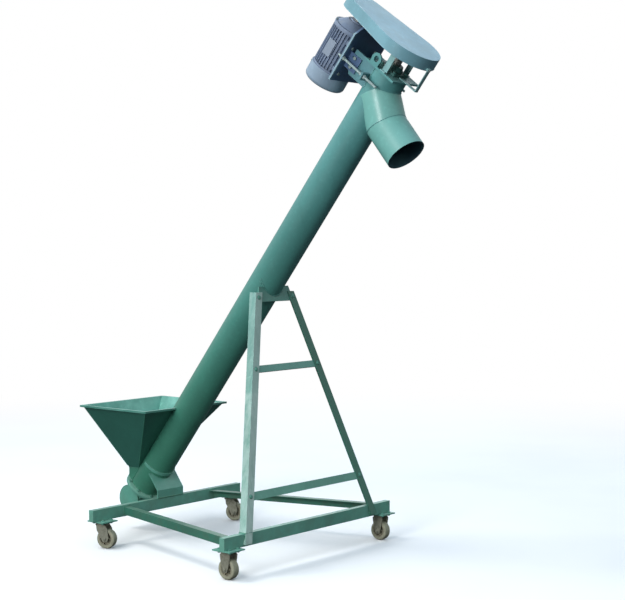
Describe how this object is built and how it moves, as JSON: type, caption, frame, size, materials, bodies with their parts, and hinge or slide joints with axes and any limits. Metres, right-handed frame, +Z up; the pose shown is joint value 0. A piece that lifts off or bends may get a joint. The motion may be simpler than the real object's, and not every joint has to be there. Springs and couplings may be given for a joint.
{
  "type": "grain auger",
  "caption": "Inclined screw conveyor for grain: square hopper feeding a tilted tube, bent discharge spout, belt-driven motor at the head, A-frame tower on a castered chassis.",
  "frame": {"origin": "bottom centre of the bounding box, on the floor under the machine", "axes": "+X towards the discharge end, +Y across the machine, +Z up"},
  "size_m": [2.679, 1.595, 3.4779],
  "materials": {
    "frame_paint": "satin teal-green machine enamel",
    "guard_paint": "satin pale blue-green enamel",
    "fastener_steel": "zinc plated",
    "bearing_iron": "painted casting",
    "screw_steel": "bare steel, polished by grain",
    "pulley_iron": "turned cast iron",
    "belt_rubber": "matt black",
    "motor_iron": "blue-grey enamel on castings",
    "motor_sheet": "blue-grey enamel",
    "gland_plastic": "black nylon",
    "fan_plastic": "black nylon",
    "caster_zinc": "dull zinc plate",
    "wheel_core": "grey cast centre",
    "wheel_tyre": "grey-olive rubber, dusty"
  },
  "bodies": {
    "frame": {"rear_beam": "frame_paint", "front_beam": "frame_paint", "side_rail_near": "frame_paint", "side_rail_far": "frame_paint", "caster_pads": "frame_paint", "caster_plates": "caster_zinc", "caster_bolts": "fastener_steel", "tower_leg_near": "frame_paint", "tower_leg_far": "frame_paint", "tower_mid_tie": "frame_paint", "tower_low_tie": "frame_paint", "tube_saddle": "frame_paint", "tower_bolts": "fastener_steel", "lower_support": "frame_paint", "lower_band": "frame_paint", "main_tube": "frame_paint", "tail_flange": "frame_paint", "tail_cover": "frame_paint", "tail_bolts": "fastener_steel", "tail_drum": "frame_paint", "tail_bearing": "bearing_iron", "hopper": "frame_paint", "hopper_neck": "frame_paint", "spout": "frame_paint", "drive_belts": "belt_rubber", "head_plate": "frame_paint", "head_bearing": "bearing_iron", "motor_bracket_near": "frame_paint", "motor_bracket_far": "frame_paint", "jacking_rods": "fastener_steel", "guide_bolts": "fastener_steel", "belt_guard": "guard_paint", "guard_struts": "frame_paint", "caster_fork_front_near": "caster_zinc", "caster_fork_front_far": "caster_zinc"},
    "screw": {"screw_core": "screw_steel", "screw_flight": "screw_steel", "driven_pulley": "pulley_iron"},
    "motor_carriage": {"motor_plate": "frame_paint", "carriage_fasteners": "fastener_steel", "motor_frame": "motor_iron", "motor_drive_shield": "motor_iron", "motor_fan_shield": "motor_iron", "fan_cowl": "motor_sheet", "terminal_box": "motor_sheet", "cable_gland": "gland_plastic"},
    "motor_rotor": {"motor_shaft": "screw_steel", "drive_pulley": "pulley_iron", "cooling_fan": "fan_plastic"},
    "wheel_rear_near": {"caster_wheel_rear_near": "wheel_core", "caster_tyre_rear_near": "wheel_tyre"},
    "swivel_rear_near": {"caster_fork_rear_near": "caster_zinc"},
    "wheel_rear_far": {"caster_wheel_rear_far": "wheel_core", "caster_tyre_rear_far": "wheel_tyre"},
    "swivel_rear_far": {"caster_fork_rear_far": "caster_zinc"},
    "wheel_front_near": {"caster_wheel_front_near": "wheel_core", "caster_tyre_front_near": "wheel_tyre"},
    "wheel_front_far": {"caster_wheel_front_far": "wheel_core", "caster_tyre_front_far": "wheel_tyre"}
  },
  "joints": [
    {"name": "screw_spin", "type": "hinge", "parent": "frame", "child": "screw", "pos_m": [-0.01823, 0, 1.65488], "axis": [0.6266, 0, 0.7793], "continuous": true},
    {"name": "belt_slack_slide", "type": "slide", "parent": "frame", "child": "motor_carriage", "axis": [-0.7793, 0, 0.6266], "range_m": [-0.02, 0]},
    {"name": "motor_spin", "type": "hinge", "parent": "motor_carriage", "child": "motor_rotor", "pos_m": [0.6726, 0, 3.15246], "axis": [0.6266, 0, 0.7793], "continuous": true},
    {"name": "swivel_rear_near", "type": "hinge", "parent": "frame", "child": "swivel_rear_near", "pos_m": [-0.86946, -0.605, 0.155], "axis": [0, 0, 1], "continuous": true},
    {"name": "roll_rear_near", "type": "hinge", "parent": "swivel_rear_near", "child": "wheel_rear_near", "pos_m": [-0.83939, -0.59405, 0.0635], "axis": [-0.342, 0.9397, 0], "continuous": true},
    {"name": "swivel_rear_far", "type": "hinge", "parent": "frame", "child": "swivel_rear_far", "pos_m": [-0.86946, 0.605, 0.155], "axis": [0, 0, 1], "continuous": true},
    {"name": "roll_rear_far", "type": "hinge", "parent": "swivel_rear_far", "child": "wheel_rear_far", "pos_m": [-0.84069, 0.61903, 0.0635], "axis": [-0.4384, 0.8988, 0], "continuous": true},
    {"name": "roll_front_near", "type": "hinge", "parent": "frame", "child": "wheel_front_near", "pos_m": [0.38254, -0.732, 0.0635], "axis": [0, 1, 0], "continuous": true},
    {"name": "roll_front_far", "type": "hinge", "parent": "frame", "child": "wheel_front_far", "pos_m": [0.38254, 0.732, 0.0635], "axis": [0, 1, 0], "continuous": true}
  ],
  "couplings": [
    {"joint": "motor_spin", "follows": "screw_spin", "ratio": 2.9439}
  ]
}
